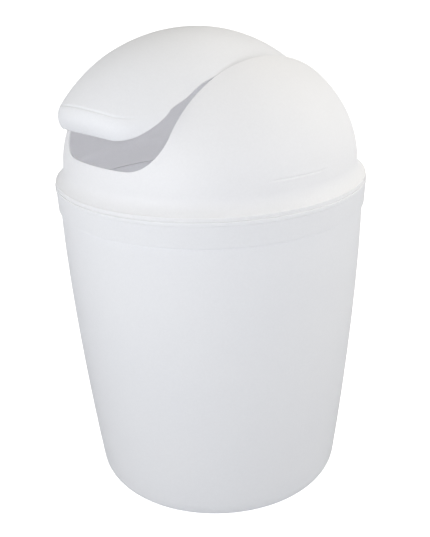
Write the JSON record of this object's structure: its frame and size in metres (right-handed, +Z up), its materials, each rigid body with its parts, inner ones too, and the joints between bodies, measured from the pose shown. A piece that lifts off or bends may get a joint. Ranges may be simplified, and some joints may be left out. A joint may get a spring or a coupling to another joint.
{
  "type": "swing-lid wastebasket",
  "caption": "Round tapered white plastic wastebasket with a collar band, a lift-off domed lid and a visor-shaped flap that swings open over the mouth.",
  "frame": {"origin": "centre of the flat underside of the bucket's base", "axes": "+Z up along the bucket's axis; the flap's nose and the mouth point to -Y; the flap's pivot axis runs along X"},
  "size_m": [0.2516, 0.2552, 0.3859],
  "materials": {
    "bucket_plastic": "satin white polypropylene",
    "lid_plastic": "semi-gloss white polypropylene",
    "flap_plastic": "semi-gloss white polypropylene"
  },
  "bodies": {
    "bucket": {"bucket": "bucket_plastic"},
    "lid": {"lid": "lid_plastic"},
    "flap": {"swing_flap": "flap_plastic"}
  },
  "joints": [
    {"name": "lid_lift", "type": "slide", "parent": "bucket", "child": "lid", "axis": [0, 0, 1], "range_m": [0, 0.15]},
    {"name": "flap_swing", "type": "hinge", "parent": "lid", "child": "flap", "pos_m": [0, 0, 0.3], "axis": [-1, 0, 0], "range_deg": [-12.5, 55]}
  ]
}
